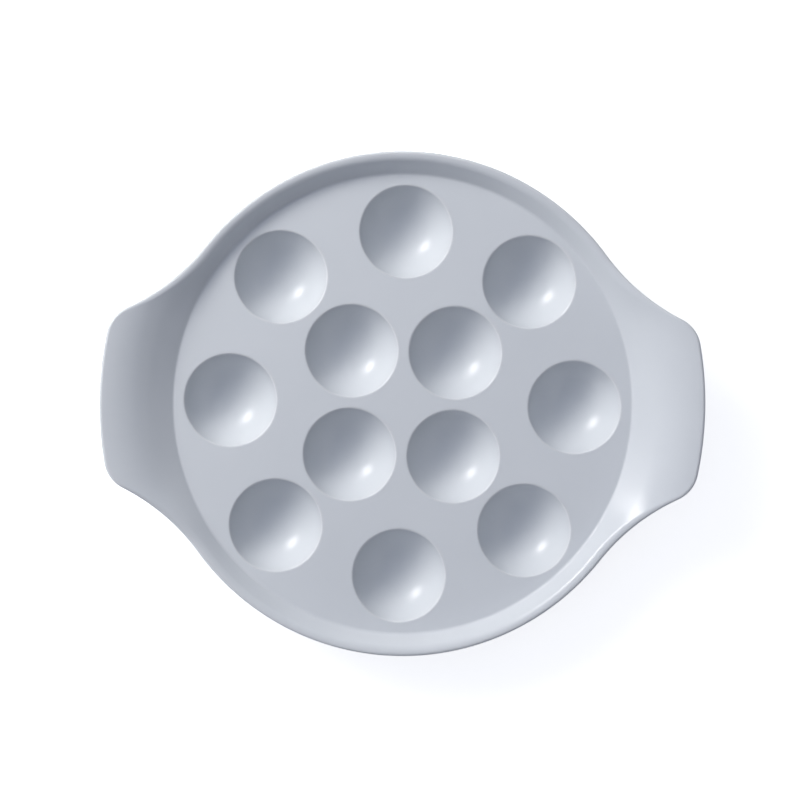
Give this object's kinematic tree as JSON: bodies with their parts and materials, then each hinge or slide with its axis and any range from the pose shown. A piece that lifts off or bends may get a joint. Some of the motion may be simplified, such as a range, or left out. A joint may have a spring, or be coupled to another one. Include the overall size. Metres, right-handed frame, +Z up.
{
  "type": "escargot plate",
  "caption": "Round white porcelain dish with a low sloping rim, upswept handle ears and round bowl-shaped wells that hold snails for baking and serving.",
  "frame": {"origin": "centre of the plate on the table plane that the wells' feet stand on", "axes": "+X to the right ear, +Y to the back of the plate (up in the picture), +Z up out of the wells"},
  "size_m": [0.26, 0.218, 0.0311],
  "materials": {
    "porcelain": "gloss glaze"
  },
  "bodies": {
    "root": {"floor_back_right": "porcelain", "floor_back_left": "porcelain", "floor_front_left": "porcelain", "floor_front_right": "porcelain", "front_rim": "porcelain", "back_rim": "porcelain", "left_ear": "porcelain", "right_ear": "porcelain", "outer_well_1": "porcelain", "outer_well_2": "porcelain", "outer_well_3": "porcelain", "outer_well_4": "porcelain", "outer_well_5": "porcelain", "outer_well_6": "porcelain", "outer_well_7": "porcelain", "outer_well_8": "porcelain", "inner_well_1": "porcelain", "inner_well_2": "porcelain", "inner_well_3": "porcelain", "inner_well_4": "porcelain"}
  },
  "joints": []
}
